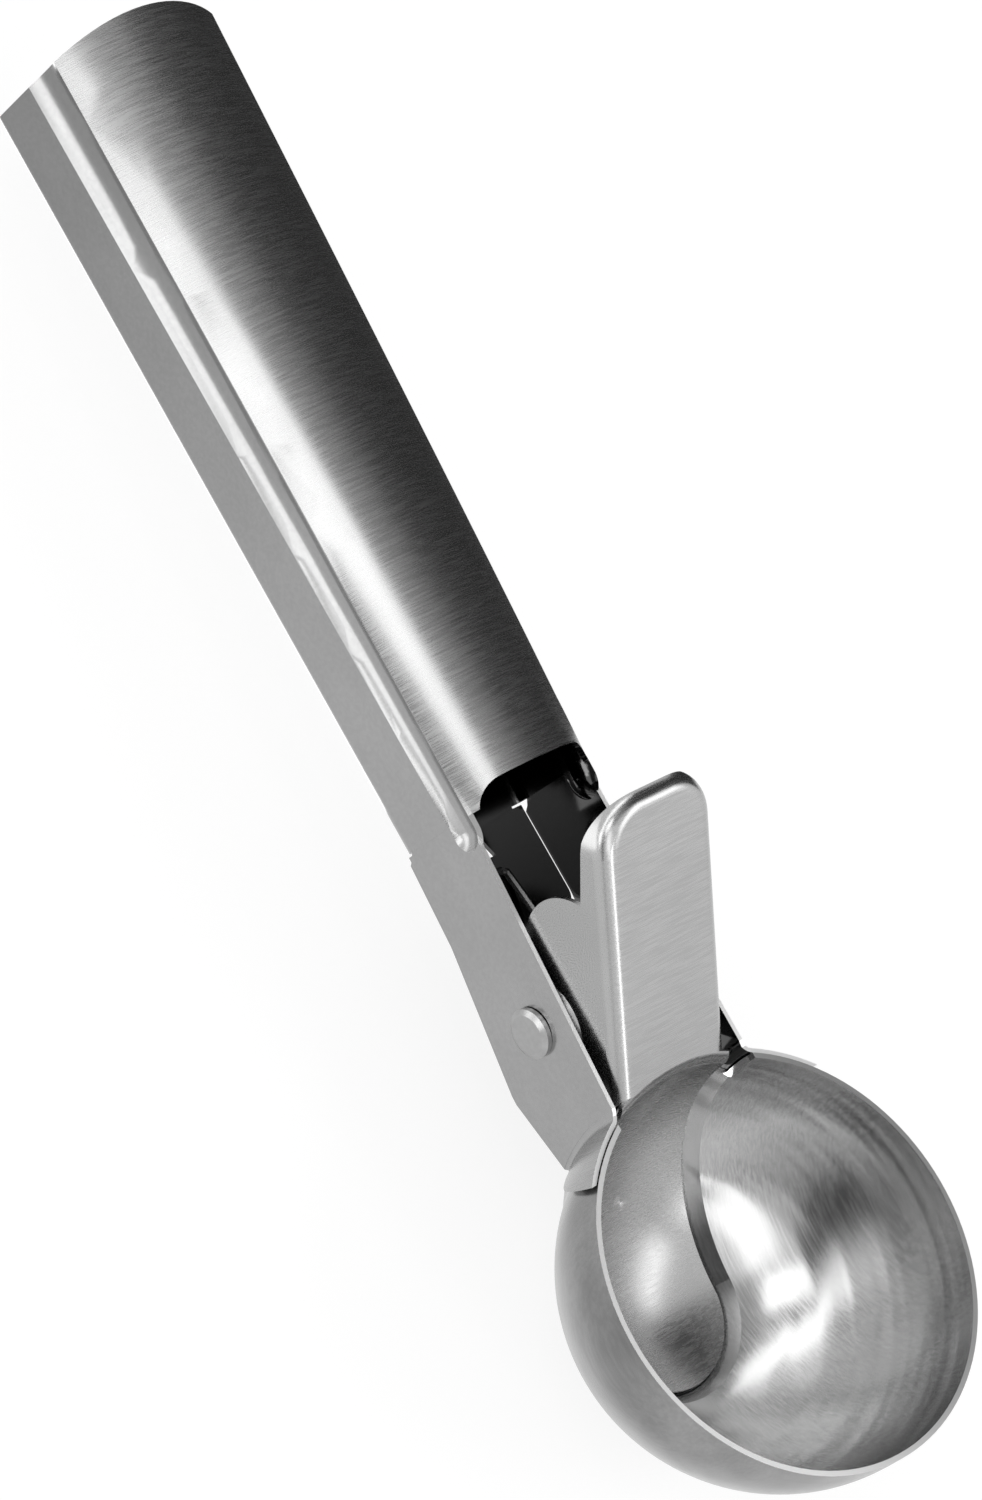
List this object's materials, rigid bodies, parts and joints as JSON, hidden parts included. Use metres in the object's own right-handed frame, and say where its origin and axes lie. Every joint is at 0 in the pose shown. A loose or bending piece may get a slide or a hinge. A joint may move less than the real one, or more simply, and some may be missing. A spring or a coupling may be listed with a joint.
{
  "type": "lever ice cream scoop",
  "caption": "Pressed stainless scoop: hollow tapered handle, round bowl with a channel, and a spring-returned thumb lever whose tongue sweeps the bowl.",
  "frame": {"origin": "on the plane under the bowl, midway along the scoop, on its plane of symmetry", "axes": "+X along the handle towards the bowl, +Z out of the bowl's mouth, +Y to the left of someone who looks along +X"},
  "size_m": [0.2066, 0.056, 0.0522],
  "materials": {
    "handle": "brushed across the arch, satin on the ears",
    "bowl": "satin",
    "lever": "satin",
    "rivet": "satin",
    "spring": "drawn wire"
  },
  "bodies": {
    "frame": {"handle": "handle", "bowl": "bowl", "rivet": "rivet", "spring": "spring"},
    "lever": {"lever": "lever"}
  },
  "joints": [
    {"name": "lever_pivot", "type": "hinge", "parent": "frame", "child": "lever", "pos_m": [0.03485, 0, 0.0229], "axis": [0, -1, 0], "range_deg": [0, 24], "stiffness_Nm_per_rad": 0.25, "springref_deg": -20.05, "deforming": ["spring"]}
  ]
}
